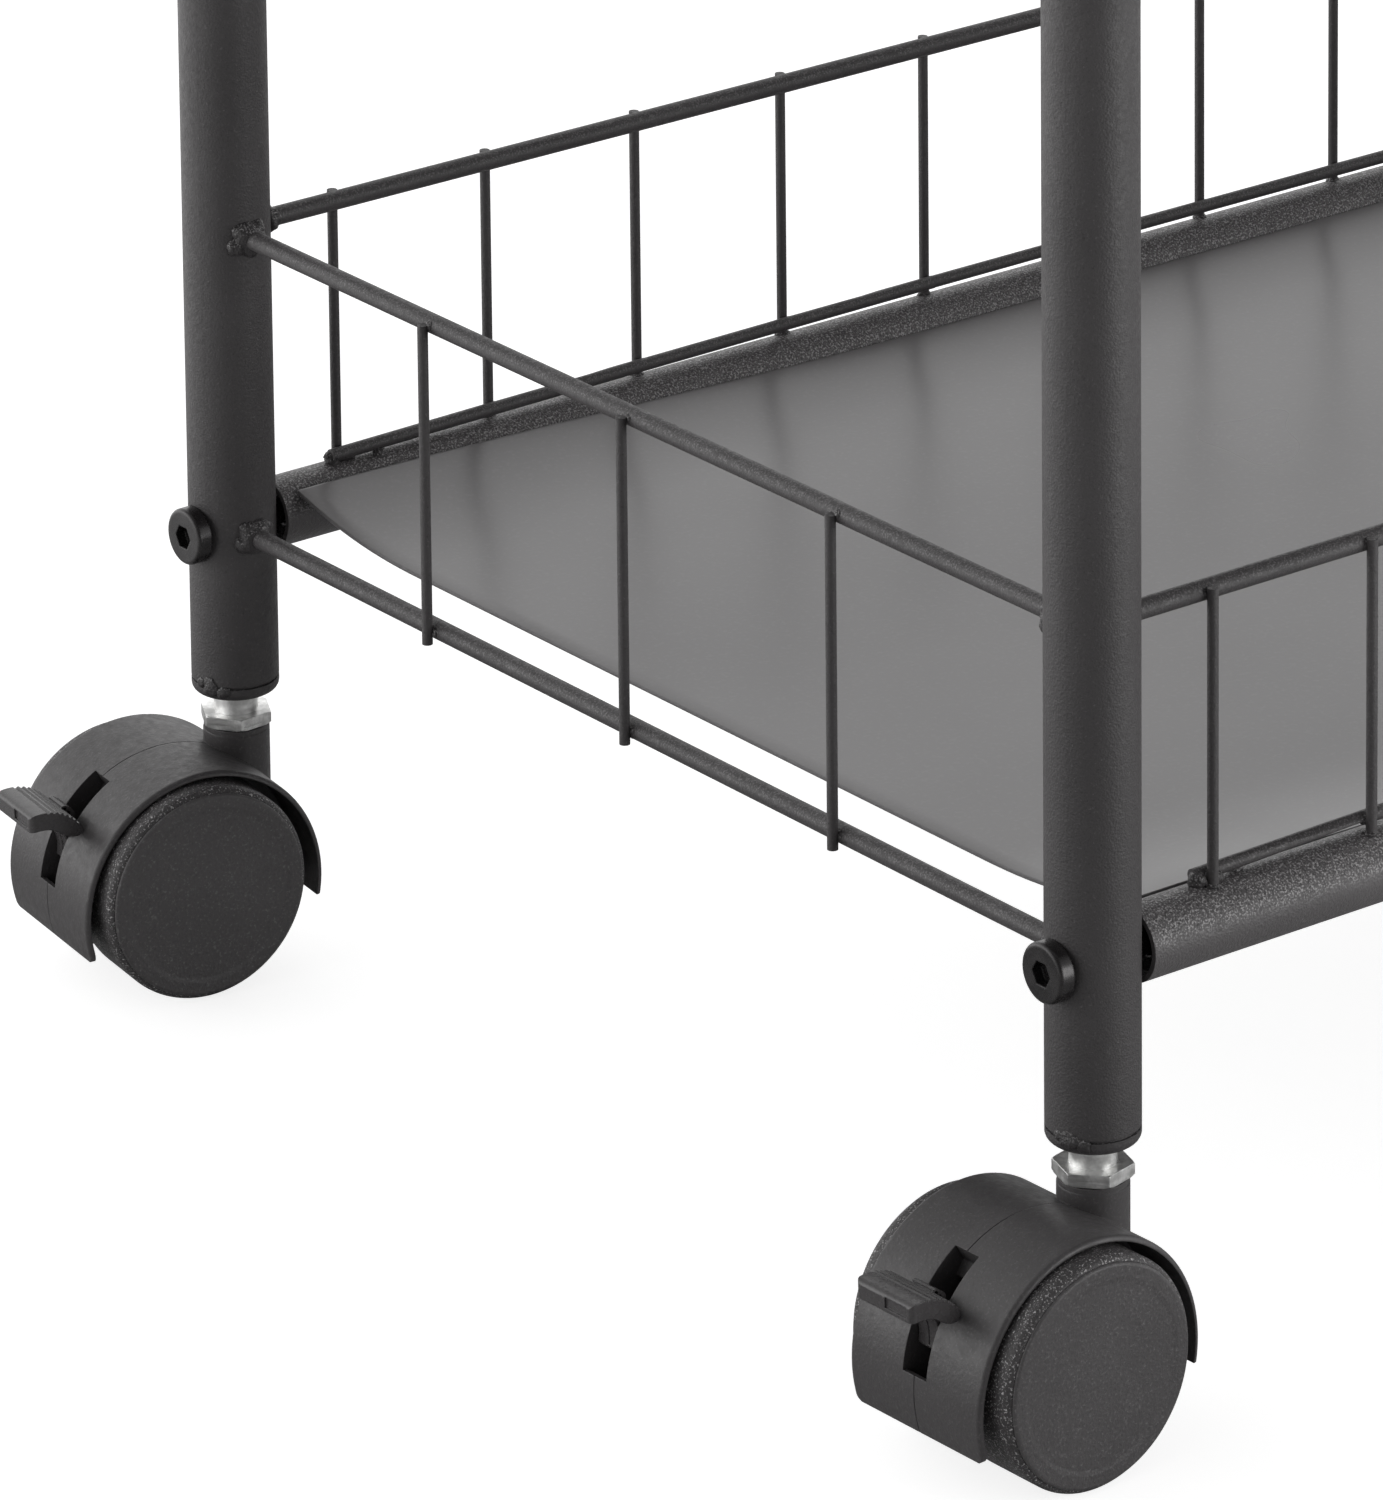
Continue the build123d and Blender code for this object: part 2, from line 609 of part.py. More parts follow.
def make_wheel_tread():
    """Softer ring around the core."""
    inner = -WHEEL_IN_Y
    with BuildPart() as tread:
        with BuildSketch(WHEEL_PLANE):
            with BuildLine():
                Polyline(
                    (TREAD_IN_R, inner), (WHEEL_R - 1.2, inner), (WHEEL_R, inner - 1.2),
                    (WHEEL_R, -22.2),
                )
                ThreePointArc((WHEEL_R, -22.2), (24.62, -23.55), (LIP_R, -24.3))
                Polyline(
                    (LIP_R, -24.3), (LIP_R, -23.2), (TREAD_IN_R, -22.0), (TREAD_IN_R, inner),
                )
            make_face()
        revolve(axis=AXLE_LINE)
    return tread.part


def make_brake_lever():
    """Trunnions, arm, cross lug and ribbed thumb pad."""
    with BuildPart() as lever:
        with BuildSketch(Plane.XZ):
            with Locations((PIVOT_X, PIVOT_Z)):
                Circle(ARM_R)
            with BuildLine():
                Polyline((PIVOT_X, PIVOT_Z + ARM_R), *ARM_UPPER)
                ThreePointArc(ARM_UPPER[-1], (-44.7, 34.5), ARM_LOWER[0])
                Polyline(*ARM_LOWER, (PIVOT_X, PIVOT_Z - ARM_R), (PIVOT_X, PIVOT_Z + ARM_R))
            make_face()
            # short arm that carries the cross lug
            with BuildLine():
                Polyline(
                    (PIVOT_X - 3.0, PIVOT_Z + 1.0), (PIVOT_X + 3.2, PIVOT_Z + 1.0),
                    (LUG_X + LUG_ARM_R, LUG_Z), (LUG_X - LUG_ARM_R, LUG_Z),
                    close=True,
                )
            make_face()
            with Locations((LUG_X, LUG_Z)):
                Circle(LUG_ARM_R)
        extrude(amount=LEVER_HALF, both=True)
        # trunnions
        with BuildSketch(Plane.XZ):
            with Locations((PIVOT_X, PIVOT_Z)):
                Circle(TRUNNION_R)
        extrude(amount=WEB_HALF, both=True)
        # cross lug
        with BuildSketch(Plane.XZ):
            with Locations((LUG_X, LUG_Z)):
                Circle(LUG_R)
        extrude(amount=LUG_HALF, both=True)
        # thumb pad, an arched roof hugging the hood
        with BuildSketch(Plane.XZ):
            with BuildLine():
                Line(PAD_UNDER[-1], PAD_TOP[0])
                Spline(*PAD_TOP)
                ThreePointArc(PAD_TOP[-1], (-43.9, 39.4), PAD_UNDER[0])
                Spline(*PAD_UNDER)
            make_face()
        extrude(amount=PAD_HALF, both=True)
        pad_corners = lever.edges().filter_by(Axis.Z, tolerance=8).group_by(Axis.X)[0]
        fillet(pad_corners, PAD_CORNER_R)
        # grooves that leave grip ribs across the top of the pad
        for x, z in GRIP_GROOVES:
            with BuildSketch(Plane.XZ):
                with Locations((x, z)):
                    Circle(GRIP_GROOVE_R)
            extrude(amount=9, both=True, mode=Mode.SUBTRACT)
        # shallow groove down the outer face of the arm
        with BuildSketch(Plane.XZ):
            with BuildLine():
                Polyline(*ARM_GROOVE, close=True)
            make_face()
        extrude(amount=ARM_GROOVE_HALF, both=True, mode=Mode.SUBTRACT)
        # sunk field in the outer lip of the pad, on the -Y side of the middle
        with BuildSketch(Plane.XY.offset(42.5)):
            with Locations((-56.6, -3.6)):
                Rectangle(0.9, 6.6)
        extrude(amount=2.3, mode=Mode.SUBTRACT)
    return lever.part


wheel_core = make_wheel_core()
wheel_tread = make_wheel_tread()
# the two wheels are mirror images about the caster's mid plane
caster_parts = {
    "stem": make_stem(),
    "hood": make_hood(),
    "axle": make_axle(),
    "brake_lever": make_brake_lever(),
    "wheel_a_core": wheel_core,
    "wheel_b_core": mirror(wheel_core, about=Plane.XZ, mode=Mode.PRIVATE),
    "wheel_a_tread": wheel_tread,
    "wheel_b_tread": mirror(wheel_tread, about=Plane.XZ, mode=Mode.PRIVATE),
}
caster_places = {
    caster: Location((x, y, 0), (0, 0, yaw)) for caster, (x, y, yaw) in CORNERS.items()
}
for caster, place in caster_places.items():
    for name, part in caster_parts.items():
        save(copies(part, place), f"{caster}_{name}")

save(copies(make_snap_ring(), *caster_places.values()), "stem_snap_rings")
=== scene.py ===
"""Three-tier shelf cart: looks, weld beads, shelf sheets, floor, light and camera.

The cart stands on z = 0, centred on the z axis. Its long sides run along X, left is -X
and front is -Y. All lengths are in metres.
"""

import json
import math

import bmesh
import bpy
from mathutils import Matrix, Vector, noise

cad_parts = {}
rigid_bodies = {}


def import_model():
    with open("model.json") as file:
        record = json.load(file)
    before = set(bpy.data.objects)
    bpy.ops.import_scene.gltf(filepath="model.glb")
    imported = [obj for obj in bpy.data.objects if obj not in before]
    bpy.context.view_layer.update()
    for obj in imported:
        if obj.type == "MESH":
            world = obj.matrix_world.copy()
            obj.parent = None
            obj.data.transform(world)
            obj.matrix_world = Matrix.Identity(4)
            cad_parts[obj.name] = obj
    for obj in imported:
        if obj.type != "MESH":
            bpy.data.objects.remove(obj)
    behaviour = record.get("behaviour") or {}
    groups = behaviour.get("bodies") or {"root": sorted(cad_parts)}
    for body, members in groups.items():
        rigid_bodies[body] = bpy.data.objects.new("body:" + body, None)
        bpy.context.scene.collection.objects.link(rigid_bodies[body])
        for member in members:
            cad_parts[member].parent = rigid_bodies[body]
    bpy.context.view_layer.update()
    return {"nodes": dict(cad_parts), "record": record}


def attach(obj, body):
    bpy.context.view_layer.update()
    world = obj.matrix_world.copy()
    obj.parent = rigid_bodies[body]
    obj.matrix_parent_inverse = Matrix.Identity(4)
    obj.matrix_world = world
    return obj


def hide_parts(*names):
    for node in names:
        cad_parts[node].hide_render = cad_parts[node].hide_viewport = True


# Dimensions shared with the CAD
HALF_X, HALF_Y = 0.2675, 0.153  # leg axes
TIERS = {"lower": 0.1013, "middle": 0.3913, "upper": 0.6813}  # heights of the shelf tube axes
LEG_R, TUBE_R = 0.010, 0.008
RAIL_RISE = 0.071  # from a shelf tube axis to the top rail
LEGS = {
    "caster_fl": (-HALF_X, -HALF_Y),
    "caster_bl": (-HALF_X, HALF_Y),
    "caster_fr": (HALF_X, -HALF_Y),
    "caster_br": (HALF_X, HALF_Y),
}

# The view also places the light and the brightness of the floor
VIEW_TILT = math.radians(22.58358)  # downwards
VIEW_HEADING = math.radians(37.16766)  # from +Y towards +X
VIEW_ROLL = -0.010597  # radians
VIEW_FORWARD = Vector((math.sin(VIEW_HEADING), math.cos(VIEW_HEADING), 0))
VIEW_RIGHT = Vector((math.cos(VIEW_HEADING), -math.sin(VIEW_HEADING), 0))

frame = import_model()
nodes = frame["nodes"]
scene = bpy.context.scene
for old in list(scene.objects):
    if old.type in ("CAMERA", "LIGHT") or (old.type == "MESH" and old.name not in nodes):
        bpy.data.objects.remove(old)


# ---------------------------------------------------------------------------
# node trees
# ---------------------------------------------------------------------------
class Graph:
    """Short ways to add nodes to a tree that reads one kind of texture coordinate."""

    def __init__(self, tree, space):
        self.tree = tree
        self.coords = self.node("TexCoord").outputs[space]

    def feed(self, socket, value):
        """Link an output to the socket, or set the socket's value."""
        if isinstance(value, bpy.types.NodeSocket):
            self.tree.links.new(value, socket)
        elif socket.type == "RGBA":
            socket.default_value = (*value, 1.0)
        else:
            socket.default_value = value

    def node(self, kind, inputs=None, **settings):
        made = self.tree.nodes.new("ShaderNode" + kind)
        for key, value in settings.items():
            setattr(made, key, value)
        for key, value in (inputs or {}).items():
            self.feed(made.inputs[key], value)
        return made

    def noise(self, scale, detail=2.0, rough=0.5, stretch=None):
        coords = self.coords
        if stretch:
            coords = self.node("Mapping", {"Scale": stretch, "Vector": coords}).outputs[0]
        inputs = {"Scale": scale, "Detail": detail, "Roughness": rough, "Vector": coords}
        return self.node("TexNoise", inputs).outputs["Fac"]

    def voronoi(self, scale):
        inputs = {"Scale": scale, "Vector": self.coords}
        return self.node("TexVoronoi", inputs).outputs["Distance"]

    def along(self, direction):
        """The coordinate measured along a direction."""
        inputs = {0: self.coords, 1: direction}
        return self.node("VectorMath", inputs, operation="DOT_PRODUCT").outputs["Value"]

    def math(self, operation, a, b):
        return self.node("Math", {0: a, 1: b}, operation=operation).outputs[0]

    def ramp(self, value, span=(0.3, 0.7), to=(0.0, 1.0), smooth=True):
        """Map a span of values to another; the default span is where noise mostly lies."""
        inputs = {"From Min": span[0], "From Max": span[1],
                  "To Min": to[0], "To Max": to[1], "Value": value}
        kind = "SMOOTHSTEP" if smooth else "LINEAR"
        return self.node("MapRange", inputs, interpolation_type=kind).outputs["Result"]

    def mix(self, amount, a, b):
        return self.node("Mix", {0: amount, 6: a, 7: b}, data_type="RGBA").outputs[2]

    def tint(self, base, mask, span, amount, colour):
        """Bring in up to this amount of a colour where the mask crosses the span."""
        return self.mix(self.ramp(mask, span, to=(0.0, amount)), base, colour)


class Material(Graph):
    """A node material around a Principled BSDF."""

    def __init__(self, name):
        self.data = bpy.data.materials.new(name)
        self.data.use_nodes = True
        self.data.node_tree.nodes.clear()
        super().__init__(self.data.node_tree, "Object")
        self.out = self.node("OutputMaterial")
        self.bsdf = self.node("BsdfPrincipled")
        self.feed(self.out.inputs[0], self.bsdf.outputs[0])

    def soft_edges(self, radius):
        """Normals rounded over sharp edges, so edges catch the light."""
        return self.node("Bevel", {"Radius": radius}, samples=4).outputs[0]

    def bump(self, height, distance, strength, normal=None):
        inputs = {"Distance": distance, "Strength": strength, "Height": height}
        if normal is not None:
            inputs["Normal"] = normal
        return self.node("Bump", inputs).outputs[0]

    def surface(self, **inputs):
        for key, value in inputs.items():
            self.feed(self.bsdf.inputs[key.replace("_", " ")], value)
        return self.data


# ---------------------------------------------------------------------------
# materials
# ---------------------------------------------------------------------------
def grey(level, warm=0.0):
    """A near neutral grey from an sRGB level 0-255, very slightly warm."""
    def linear(c):
        c = c / 255
        return c / 12.92 if c <= 0.04045 else ((c + 0.055) / 1.055) ** 2.4
    return (linear(level + 1.0 + warm * 0.6), linear(level - 0.9), linear(level))


def powder_coat(name, level, grain, painted_sparkle, rough=(0.42, 0.62)):
    """Textured powder coat. Where the surface faces up, its grains are painted light and its
    pits dark: painted highlight and painted shade of the overhead light.
    """
    coat = Material(name)
    normal = coat.node("NewGeometry").outputs["Normal"]
    normal_z = coat.node("SeparateXYZ", {0: normal}).outputs["Z"]
    facing_up = coat.ramp(normal_z, span=(0.02, 0.42))
    grains = coat.noise(scale=2300, detail=1.0)
    broad = coat.noise(scale=22, detail=3, rough=0.55)
    fine = coat.noise(scale=1500, rough=0.6)
    pebble = coat.voronoi(scale=1900)

    tone = coat.mix(coat.ramp(broad), grey(level - 4, warm=0.8), grey(level + 4, warm=0.8))
    tone = coat.tint(tone, fine, span=(0.60, 0.78), amount=0.55,
                     colour=grey(level + 34, warm=0.6))
    tone = coat.tint(tone, fine, span=(0.40, 0.26), amount=0.5,
                     colour=grey(level - 26, warm=0.4))
    # painted highlight: light grey glints on the grains, only where the surface faces up
    painted_glint = coat.ramp(grains, span=(0.53, 0.66), to=(0.0, painted_sparkle))
    tone = coat.mix(coat.math("MULTIPLY", painted_glint, facing_up), tone, grey(200, warm=0.6))
    # painted shade: darker pits between the grains, only where the surface faces up
    painted_pit_shade = coat.ramp(grains, span=(0.46, 0.36), to=(0.0, min(painted_sparkle * 1.6, 0.8)))
    tone = coat.mix(coat.math("MULTIPLY", painted_pit_shade, facing_up), tone, grey(level - 34, warm=0.4))

    height = coat.math("ADD", coat.math("MULTIPLY", fine, 0.7),
                       coat.math("MULTIPLY", pebble, 0.5))
    waves = coat.bump(coat.noise(scale=160), distance=0.0004, strength=0.12,
                      normal=coat.soft_edges(radius=0.0003))
    return coat.surface(
        Base_Color=tone,
        Roughness=coat.ramp(coat.noise(scale=700, rough=0.6), to=rough, smooth=False),
        Normal=coat.bump(height, distance=0.00018 * grain, strength=0.55, normal=waves))


def sheet_coat(name, level):
    """Satin paint on the shelf sheets: smoother than the tubes, soft cloudy tone."""
    coat = Material(name)
    cloud = coat.noise(scale=9, detail=3)
    fine = coat.noise(scale=900)
    tone = coat.mix(coat.ramp(cloud), grey(level - 3, warm=0.6), grey(level + 3, warm=0.6))
    tone = coat.tint(tone, fine, span=(0.50, 0.75), amount=0.22,
                     colour=grey(level + 22, warm=0.5))
    return coat.surface(
        Base_Color=tone,
        Roughness=coat.ramp(coat.noise(scale=12), to=(0.27, 0.31), smooth=False),
        Normal=coat.bump(fine, distance=0.00002, strength=0.15))


def moulded(name, level, grain_scale, depth, rough, painted_flecks=0.1, strength=0.5, painted_glint=150):
    """Spark-eroded texture of moulded plastic, with painted glints on the grain and painted
    shade in its pits.
    """
    plastic = Material(name)
    broad = plastic.noise(scale=40, detail=3, rough=0.55)
    grain = plastic.noise(scale=grain_scale, detail=3, rough=0.65)
    pits = plastic.voronoi(scale=grain_scale * 0.8)
    tone = plastic.mix(plastic.ramp(broad), grey(level - 3, warm=0.5), grey(level + 3, warm=0.5))
    # painted highlight: light flecks where the grain stands high
    tone = plastic.tint(tone, grain, span=(0.55, 0.70), amount=painted_flecks,
                        colour=grey(painted_glint, warm=0.5))
    # painted shade: dark flecks in the low pits of the grain
    tone = plastic.tint(tone, grain, span=(0.45, 0.32), amount=min(painted_flecks, 0.6),
                        colour=grey(level - 25, warm=0.3))
    height = plastic.math("ADD", plastic.math("MULTIPLY", grain, 0.8),
                          plastic.math("MULTIPLY", pits, 0.4))
    return plastic.surface(
        Base_Color=tone,
        Roughness=plastic.ramp(plastic.noise(scale=500), to=rough, smooth=False),
        Normal=plastic.bump(height, depth, strength, plastic.soft_edges(radius=0.00035)))


def zinc_plate(name):
    """Cloudy bright metal with fine rings around Z."""
    zinc = Material(name)
    rings = zinc.noise(scale=900, detail=3, rough=0.6, stretch=(0.15, 0.15, 1.0))
    cloud = zinc.noise(scale=260, detail=3, rough=0.6)
    tone = zinc.mix(zinc.ramp(cloud, span=(0.35, 0.65)), (0.62, 0.62, 0.61), (1.0, 1.0, 0.99))
    return zinc.surface(
        Base_Color=tone,
        Metallic=0.9,
        Roughness=zinc.ramp(rings, to=(0.26, 0.44), smooth=False),
        Normal=zinc.bump(rings, distance=0.00012, strength=0.7,
                         normal=zinc.soft_edges(radius=0.00025)))


def black_oxide(name):
    """Dark, half glossy finish of the shelf tube nuts."""
    oxide = Material(name)
    fine = oxide.noise(scale=800, detail=3, rough=0.6)
    cloud = oxide.noise(scale=150, detail=3, rough=0.6)
    return oxide.surface(
        Base_Color=oxide.mix(oxide.ramp(cloud), grey(38, warm=0.4), grey(56, warm=0.6)),
        Metallic=0.5,
        Roughness=oxide.ramp(fine, to=(0.20, 0.32), smooth=False),
        Specular_IOR_Level=0.8,
        Normal=oxide.bump(fine, distance=0.00005, strength=0.4,
                          normal=oxide.soft_edges(radius=0.0005)))


LOOKS = {
    "frame_paint": (powder_coat, dict(level=70, grain=1.3, painted_sparkle=0.25)),
    "wire_paint": (powder_coat, dict(level=70, grain=1.2, painted_sparkle=0.14)),
    # the shelf tubes: a lighter copy of the frame's powder coat with more glints, as a painted
    # highlight along them
    "tube_paint": (powder_coat, dict(level=94, grain=1.9, painted_sparkle=0.55, rough=(0.36, 0.56))),
    "weld_paint": (powder_coat, dict(level=60, grain=2.6, painted_sparkle=0.35, rough=(0.34, 0.55))),
    "panel_paint": (sheet_coat, dict(level=116)),
    "caster_plastic": (moulded, dict(level=73, grain_scale=1500, depth=0.00014,
                                     rough=(0.36, 0.52), painted_flecks=0.16)),
    "wheel_face": (moulded, dict(level=84, grain_scale=1500, depth=0.00020,
                                 rough=(0.38, 0.52), painted_flecks=0.32, strength=0.7)),
    "lever_plastic": (moulded, dict(level=74, grain_scale=1800, depth=0.00005,
                                    rough=(0.20, 0.34))),
    "tread": (moulded, dict(level=70, grain_scale=2100, depth=0.00022, rough=(0.38, 0.55),
                            painted_flecks=0.85, strength=0.9, painted_glint=225)),
    "zinc": (zinc_plate, {}),
    "black_oxide": (black_oxide, {}),
}
MATERIALS = {name: build(name, **look) for name, (build, look) in LOOKS.items()}


def material_name(node, slot):
    """Some CAD pieces get their own look; the rest take that of their slot."""
    if "_wheel_" in node and node.endswith("_core"):
        return "wheel_face"
    if node == "shelf_tube_nuts":
        return "black_oxide"
    if node.endswith("brake_lever"):
        return "lever_plastic"
    if "_rail_" in node or node.endswith("_gallery"):
        return "wire_paint"
    # the shelf tubes take the lighter copy of the frame coat, a painted highlight
    if node.endswith("_tube") and "_end_" not in node:
        return "tube_paint"
    return slot


for entry in frame["record"]["subparts"]:
    slots = nodes[entry["node"]].data.materials
    slots.clear()
    slots.append(MATERIALS[material_name(entry["node"], entry["material_slot"])])


# ---------------------------------------------------------------------------
# new pieces of the frame
# ---------------------------------------------------------------------------
def to_object(name, bm, material):
    mesh = bpy.data.meshes.new(name)
    bm.normal_update()
    bm.to_mesh(mesh)
    bm.free()
    mesh.materials.append(material)
    made = bpy.data.objects.new(name, mesh)
    scene.collection.objects.link(made)
    return made


def frame_piece(name, bm, look):
    """A smooth shaded piece that rides on the cart frame."""
    made = to_object(name, bm, MATERIALS[look])
    for polygon in made.data.polygons:
        polygon.use_smooth = True
    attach(made, "cart_frame")
    return made


def bead(bm, centre, radii, seed, rough, freq=600.0, axes=((1, 0, 0), (0, 1, 0), (0, 0, 1))):
    """A lumpy drop of weld metal: an icosphere shaped by radii along axes, then roughened."""
    made = bmesh.ops.create_icosphere(bm, subdivisions=3, radius=1.0)
    middle = Vector(centre)
    x, y, z = (Vector(axis).normalized() for axis in axes)
    for vert in made["verts"]:
        unit = vert.co.copy()
        point = x * (unit.x * radii[0]) + y * (unit.y * radii[1]) + z * (unit.z * radii[2])
        place = point + middle
        # broad lumps, then finer ones
        swell = 1 + rough * noise.noise(place * freq * 0.9 + Vector((seed * 3.7, seed * 1.3, 0)))
        swell += rough * 0.6 * noise.noise(place * freq * 2.4 + Vector((0, seed * 2.1, 5)))
        vert.co = middle + point * swell


def cluster(bm, base, signs, table, seed):
    """Beads from a table, with offsets mirrored by signs and measured from base."""
    for offset, radii, seed_step, rough, freq in table:
        centre = [b + sign * o for b, sign, o in zip(base, signs, offset)]
        bead(bm, centre, radii, seed + seed_step, rough, freq)


# Tables of beads: offset (x, y, z), radii (x, y, z), seed step, roughness, lump frequency.
# X and Y offsets are mirrored, so positive X or Y points outwards on a mirrored axis.
END_WIRE_TO_LEG = (
    ((0.0, -0.0002, 0.0), (0.0041, 0.0027, 0.0039), 0, 0.26, 250.0),
    ((0.0026, 0.0008, -0.0014), (0.0025, 0.0020, 0.0022), 9, 0.30, 420.0),
    ((0.0018, 0.0003, 0.0020), (0.0022, 0.0018, 0.0018), 13, 0.30, 420.0),
    ((-0.0018, -0.0001, 0.0023), (0.0022, 0.0017, 0.0016), 17, 0.35, 600.0),
)
END_WIRE_TO_UPRIGHT = (
    ((0.0017, -0.0010, 0.0), (0.0009, 0.0012, 0.0013), 0, 0.35, 600.0),
    ((0.0017, 0.0010, -0.0003), (0.0009, 0.0011, 0.0012), 5, 0.35, 600.0),
)
TOP_RAIL_TO_LEG = (
    ((-0.0004, 0.0, 0.0), (0.0022, 0.0033, 0.0031), 0, 0.30, 600.0),
    ((-0.0002, 0.0012, -0.0020), (0.0014, 0.0018, 0.0016), 31, 0.35, 600.0),
)
LOWER_WIRE_END = (
    ((0.0, 0.0003, 0.0093), (0.0020, 0.0019, 0.0019), 3, 0.36, 600.0),
    ((0.0004, 0.0004, 0.0082), (0.0016, 0.0017, 0.0015), 5, 0.36, 600.0),
    ((-0.0040, 0.0010, 0.0086), (0.0024, 0.0017, 0.0017), 8, 0.42, 600.0),
)
LOOSE_X = HALF_X - 0.0395
LOOSE_TACKS = (
    ((-LOOSE_X, -0.0018, 0.0077), (0.0017, 0.0016, 0.0017), 77, 0.35, 600.0),
    ((LOOSE_X, -0.0018, 0.0077), (0.0015, 0.0014, 0.0015), 79, 0.35, 600.0),
)
TOP_RAIL_TO_UPRIGHT = (
    ((0.0009, 0.0017, 0.0), (0.0011, 0.0009, 0.0012), 0, 0.35, 600.0),
    ((-0.0009, 0.0017, -0.0002), (0.0011, 0.0009, 0.0012), 7, 0.35, 600.0),
)

END_WIRE_OUTSET = 0.0006  # end wires lie this far outside the leg axes
END_UPRIGHT_PITCH = 0.0723


def end_rail_welds(side, sx, tier, z, seed):
    """Beads on the wires at one end of a tier."""
    bm = bmesh.new()
    wire_x = sx * HALF_X + sx * END_WIRE_OUTSET
    for sy in (-1, 1):
        for wire_z in (z, z + RAIL_RISE):
            seed += 1
            base = (wire_x, sy * (HALF_Y - LEG_R), wire_z)
            cluster(bm, base, (sx, sy, 1), END_WIRE_TO_LEG, seed)
    for i in (-1, 0, 1):
        for wire_z in (z, z + RAIL_RISE):
            seed += 1
            base = (wire_x, i * END_UPRIGHT_PITCH, wire_z)
            cluster(bm, base, (sx, 1, 1), END_WIRE_TO_UPRIGHT, seed)
    frame_piece(f"weld_beads_{side}_end_{tier}", bm, "weld_paint")


for side, sx, side_seed in (("left", -1, 0), ("right", 1, 20)):
    for i, (tier, z) in enumerate(TIERS.items()):
        end_rail_welds(side, sx, tier, z, seed=i * 40 + side_seed)

# Tacks that hold the threaded plug in the lower end of each leg:
# bearing from +X in degrees, half width, half height, z
PLUG_TACKS = (
    (-160, 0.0021, 0.0021, 0.0652),
    (-141, 0.0017, 0.0016, 0.0644),
    (-175, 0.0012, 0.0013, 0.0657),
    (29, 0.0022, 0.0018, 0.0650),
    (7, 0.0014, 0.0015, 0.0655),
)
TACK_HALF_DEPTH = 0.0006
TACK_SINK = 0.0001  # tack centres lie this far inside the leg's surface


def plug_tacks(leg, leg_x, leg_y, seed):
    bm = bmesh.new()
    for i, (bearing, half_width, half_height, z) in enumerate(PLUG_TACKS):
        angle = math.radians(bearing)
        out = Vector((math.cos(angle), math.sin(angle), 0))
        around = Vector((-math.sin(angle), math.cos(angle), 0))
        bead(bm, Vector((leg_x, leg_y, z)) + out * (LEG_R - TACK_SINK),
             radii=(half_width, TACK_HALF_DEPTH, half_height), seed=seed + i,
             rough=0.3, freq=700.0, axes=(around, out, (0, 0, 1)))
    frame_piece(f"plug_tacks_{leg}", bm, "weld_paint")


for i, (leg, (leg_x, leg_y)) in enumerate(LEGS.items()):
    plug_tacks(leg, leg_x, leg_y, seed=900 + i * 17)

# Galleries: a top rail and a bowed lower wire along each long side, joined by uprights
RAIL_R, UPRIGHT_R, LOWER_WIRE_R = 0.0022, 0.0012, 0.00155
FUSE = 0.00025  # how deep crossing wires sink into each other
RAIL_INSET = 0.0014  # top rail axis inside the shelf tube axis
UPRIGHT_COUNT = 12
UPRIGHT_INSET = 0.0305  # first and last upright from the leg axes
UPRIGHT_PITCH = (2 * HALF_X - 2 * UPRIGHT_INSET) / (UPRIGHT_COUNT - 1)
BOW_HALF_X = HALF_X - UPRIGHT_INSET + 0.0034
BOW_LOW, BOW_HIGH = 0.0099, 0.0116
WIRE_END_X = HALF_X - UPRIGHT_INSET + 0.0024  # beads at the ends of the lower wire


def lower_wire_rise(x):
    """Centre height of the bowed lower gallery wire above the shelf tube axis."""
    return BOW_LOW + (BOW_HIGH - BOW_LOW) * (1 - (x / BOW_HALF_X) ** 2)


def gallery_welds(tier, z, side, sy, seed):
    bm = bmesh.new()
    tube_y = sy * HALF_Y
    rail_y = tube_y - sy * RAIL_INSET
    upright_y = rail_y + sy * (RAIL_R + UPRIGHT_R - FUSE)
    wire_y = upright_y - sy * (UPRIGHT_R + LOWER_WIRE_R - FUSE)
    rail_z = z + RAIL_RISE
    foot_z = z + math.sqrt(TUBE_R ** 2 - (upright_y - tube_y) ** 2)
    for sx in (-1, 1):
        seed += 1
        signs = (sx, sy, 1)
        cluster(bm, (sx * (HALF_X - LEG_R), rail_y, rail_z), signs, TOP_RAIL_TO_LEG, seed)
        cluster(bm, (sx * WIRE_END_X, wire_y, z), signs, LOWER_WIRE_END, seed)
    # loose tacks on the shelf tube beside the first and last upright
    cluster(bm, (0, tube_y, z), (1, sy, 1), LOOSE_TACKS, seed)
    for i in range(UPRIGHT_COUNT):
        seed += 1
        x = -HALF_X + UPRIGHT_INSET + i * UPRIGHT_PITCH
        cluster(bm, (x, rail_y, rail_z), (1, sy, 1), TOP_RAIL_TO_UPRIGHT, seed)
        # crossing of the lower wire
        bead(bm, (x, wire_y + sy * 0.0012, z + lower_wire_rise(x)),
             radii=(0.0019, 0.0009, 0.0011), seed=seed + 13, rough=0.35)
        # foot on the shelf tube
        bead(bm, (x, upright_y, foot_z + 0.0001),
             radii=(0.0018, 0.0015, 0.0008), seed=seed + 19, rough=0.35)
    frame_piece(f"weld_beads_{tier}_{side}", bm, "weld_paint")


for tier, z in TIERS.items():
    for side, sy, side_seed in (("front", -1, 0), ("back", 1, 50)):
        gallery_welds(tier, z, side, sy, seed=300 + int(z * 1000) + side_seed)

